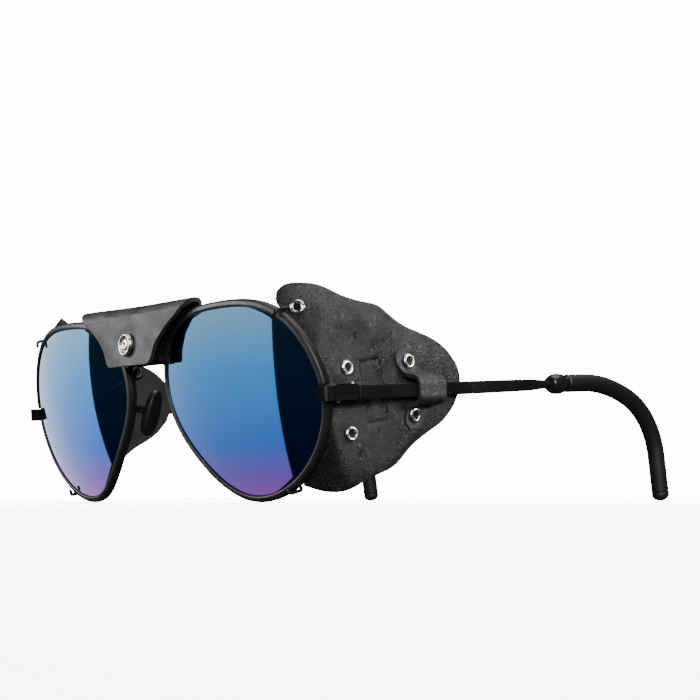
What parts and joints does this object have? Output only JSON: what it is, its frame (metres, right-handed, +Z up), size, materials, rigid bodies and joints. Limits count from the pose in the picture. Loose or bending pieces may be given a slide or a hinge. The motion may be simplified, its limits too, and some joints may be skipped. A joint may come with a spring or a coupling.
{
  "type": "glacier glasses",
  "caption": "Round-lensed wire-rimmed mountain sunglasses with leather side shields, a leather nose cover, rocking nose pads and folding temples with curved rubber tips.",
  "frame": {"origin": "on the surface that the glasses stand on, under the middle of their box", "axes": "+X to the wearer's left, +Y backwards from the lenses to the temple tips, +Z up"},
  "size_m": [0.1412, 0.1404, 0.0538],
  "materials": {
    "frame_black": "matt black lacquer on metal wire",
    "temple_black": "satin black lacquer",
    "screw_steel": "small turned screws",
    "lens_coated": "blue to violet mirror coating on a dark tinted lens",
    "eyelet_nickel": "polished nickel",
    "shield_leather": "black grained leather, suede inside",
    "nose_leather": "black smooth leather",
    "tip_rubber": "soft matt rubber",
    "pad_silicone": "satin silicone"
  },
  "bodies": {
    "front": {"brow_bar": "frame_black", "nose_bridge": "frame_black", "nose_cover": "nose_leather", "snap_cap": "eyelet_nickel", "snap_stud": "eyelet_nickel", "rim_left": "frame_black", "lens_left": "lens_coated", "closing_block_upper_left": "frame_black", "closing_block_lower_left": "frame_black", "rim_screw_left": "screw_steel", "end_piece_left": "frame_black", "hinge_front_left": "frame_black", "hinge_screw_left": "screw_steel", "pad_arm_left": "frame_black", "pad_box_left": "frame_black", "pad_screw_left": "screw_steel", "side_shield_left": "shield_leather", "shield_clip_left": "frame_black", "shield_eyelets_left": "eyelet_nickel", "rim_right": "frame_black", "lens_right": "lens_coated", "closing_block_upper_right": "frame_black", "closing_block_lower_right": "frame_black", "rim_screw_right": "screw_steel", "end_piece_right": "frame_black", "hinge_front_right": "frame_black", "hinge_screw_right": "screw_steel", "pad_arm_right": "frame_black", "pad_box_right": "frame_black", "pad_screw_right": "screw_steel", "side_shield_right": "shield_leather", "shield_clip_right": "frame_black", "shield_eyelets_right": "eyelet_nickel"},
    "temple_left": {"temple_left": "temple_black", "tip_collar_left": "frame_black", "tip_sleeve_left": "tip_rubber", "tip_plug_left": "tip_rubber", "hinge_temple_left": "frame_black", "temple_strap_left": "shield_leather", "strap_eyelets_left": "eyelet_nickel"},
    "pad_left": {"nose_pad_left": "pad_silicone"},
    "temple_right": {"temple_right": "temple_black", "tip_collar_right": "frame_black", "tip_sleeve_right": "tip_rubber", "tip_plug_right": "tip_rubber", "hinge_temple_right": "frame_black", "temple_strap_right": "shield_leather", "strap_eyelets_right": "eyelet_nickel"},
    "pad_right": {"nose_pad_right": "pad_silicone"}
  },
  "joints": [
    {"name": "temple_left_fold", "type": "hinge", "parent": "front", "child": "temple_left", "pos_m": [0.06762, -0.04767, 0.02654], "axis": [0, -0.0673, 0.9977], "range_deg": [0, 88], "deforming": ["side_shield_left"]},
    {"name": "temple_right_fold", "type": "hinge", "parent": "front", "child": "temple_right", "pos_m": [-0.06762, -0.04767, 0.02654], "axis": [0, 0.0673, -0.9977], "range_deg": [0, 76], "deforming": ["side_shield_right"]},
    {"name": "nose_pad_left_rock", "type": "hinge", "parent": "front", "child": "pad_left", "pos_m": [0.01304, -0.05556, 0.0252], "axis": [0.5, 0.8641, 0.0583], "range_deg": [-10, 10]},
    {"name": "nose_pad_right_rock", "type": "hinge", "parent": "front", "child": "pad_right", "pos_m": [-0.01304, -0.05556, 0.0252], "axis": [0.5, -0.8641, -0.0583], "range_deg": [-10, 10]}
  ]
}
